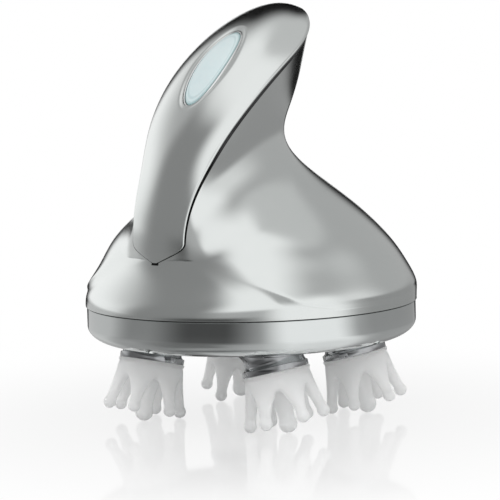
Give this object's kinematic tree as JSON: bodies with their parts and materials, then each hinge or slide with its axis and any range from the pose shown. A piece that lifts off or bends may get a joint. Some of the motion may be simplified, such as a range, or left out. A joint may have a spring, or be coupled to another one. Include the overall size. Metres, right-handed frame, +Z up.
{
  "type": "electric scalp massager",
  "caption": "Cordless scalp massager: a round base with geared, tilted silicone brush heads under it and a hooked handle with an oval push button.",
  "frame": {"origin": "on the floor under the centre of the base, midway between the heads, where the lowest finger tips touch", "axes": "+Z up along the axis of the base, -Y towards the front where the cover and the button are, +X to the right as seen from the front"},
  "size_m": [0.108, 0.108, 0.1344],
  "materials": {
    "casing_silver": "satin silver plating over plastic",
    "lower_silver": "bright silver plating over plastic",
    "bezel_bright": "bright",
    "button_clear": "frosted, translucent, faintly blue",
    "carrier_chrome": "bright chrome plating over plastic",
    "silicone_clear": "soft translucent silicone",
    "seal_black": "matte",
    "inner_white": "as moulded",
    "gear_white": "as moulded, greased",
    "steel": "ground",
    "bush_bronze": "sintered, oiled",
    "pinion_brass": "cut",
    "contact_gold": "gold plated",
    "motor_can": "zinc plated",
    "board_green": "lacquered",
    "chip_black": "moulded",
    "led_white": "clear resin",
    "cell_blue": "shrink sleeve"
  },
  "bodies": {
    "casing": {"upper_shell": "casing_silver", "front_cover": "casing_silver", "lower_shell": "lower_silver", "shell_gasket": "seal_black", "button_bezel": "bezel_bright", "button_housing": "inner_white", "button_seal": "seal_black", "tact_switch": "chip_black", "button_board": "board_green", "status_leds": "led_white", "gear_plate": "inner_white", "gearbox_cover": "inner_white", "idler_pin": "steel", "motor": "motor_can", "battery_cell": "cell_blue", "battery_cradle": "inner_white", "control_board": "board_green", "board_parts": "chip_black", "head_bushes": "bush_bronze", "lip_seals": "seal_black", "case_screws": "steel", "plate_screws": "steel", "motor_screws": "steel", "charge_contacts": "contact_gold"},
    "sun": {"sun_gear": "gear_white", "sun_wheel": "gear_white"},
    "idler": {"idler_gear": "gear_white"},
    "rotor": {"motor_shaft": "steel", "motor_pinion": "pinion_brass"},
    "button": {"push_button": "button_clear"},
    "head_fr": {"head_gear_fr": "gear_white", "head_shaft_fr": "steel", "carrier_fr": "carrier_chrome", "brush_fr": "silicone_clear", "head_screw_fr": "steel"},
    "head_fl": {"head_gear_fl": "gear_white", "head_shaft_fl": "steel", "carrier_fl": "carrier_chrome", "brush_fl": "silicone_clear", "head_screw_fl": "steel"},
    "head_br": {"head_gear_br": "gear_white", "head_shaft_br": "steel", "carrier_br": "carrier_chrome", "brush_br": "silicone_clear", "head_screw_br": "steel"},
    "head_bl": {"head_gear_bl": "gear_white", "head_shaft_bl": "steel", "carrier_bl": "carrier_chrome", "brush_bl": "silicone_clear", "head_screw_bl": "steel"}
  },
  "joints": [
    {"name": "sun_spin", "type": "hinge", "parent": "casing", "child": "sun", "pos_m": [0, 0, 0.04], "axis": [0, 0, 1], "continuous": true},
    {"name": "idler_spin", "type": "hinge", "parent": "casing", "child": "idler", "pos_m": [0, 0.015, 0.046], "axis": [0, 0, 1], "continuous": true},
    {"name": "rotor_spin", "type": "hinge", "parent": "casing", "child": "rotor", "pos_m": [0, 0, 0.05], "axis": [0, 0, 1], "continuous": true},
    {"name": "head_fr_spin", "type": "hinge", "parent": "casing", "child": "head_fr", "pos_m": [0.0231, -0.02067, 0.03], "axis": [0, 0, 1], "continuous": true},
    {"name": "head_fl_spin", "type": "hinge", "parent": "casing", "child": "head_fl", "pos_m": [-0.0231, -0.02067, 0.03], "axis": [0, 0, 1], "continuous": true},
    {"name": "head_br_spin", "type": "hinge", "parent": "casing", "child": "head_br", "pos_m": [0.0231, 0.02067, 0.03], "axis": [0, 0, 1], "continuous": true},
    {"name": "head_bl_spin", "type": "hinge", "parent": "casing", "child": "head_bl", "pos_m": [-0.0231, 0.02067, 0.03], "axis": [0, 0, 1], "continuous": true},
    {"name": "button_press", "type": "slide", "parent": "casing", "child": "button", "axis": [0, 0.6714, -0.7411], "range_m": [0, 0.0008], "stiffness_N_per_m": 2000, "springref_m": -0.0005}
  ],
  "couplings": [
    {"joint": "idler_spin", "follows": "sun_spin", "ratio": -4},
    {"joint": "rotor_spin", "follows": "sun_spin", "ratio": 16},
    {"joint": "head_fr_spin", "follows": "sun_spin", "ratio": -1.3846},
    {"joint": "head_fl_spin", "follows": "sun_spin", "ratio": -1.3846},
    {"joint": "head_br_spin", "follows": "sun_spin", "ratio": -1.3846},
    {"joint": "head_bl_spin", "follows": "sun_spin", "ratio": -1.3846}
  ]
}
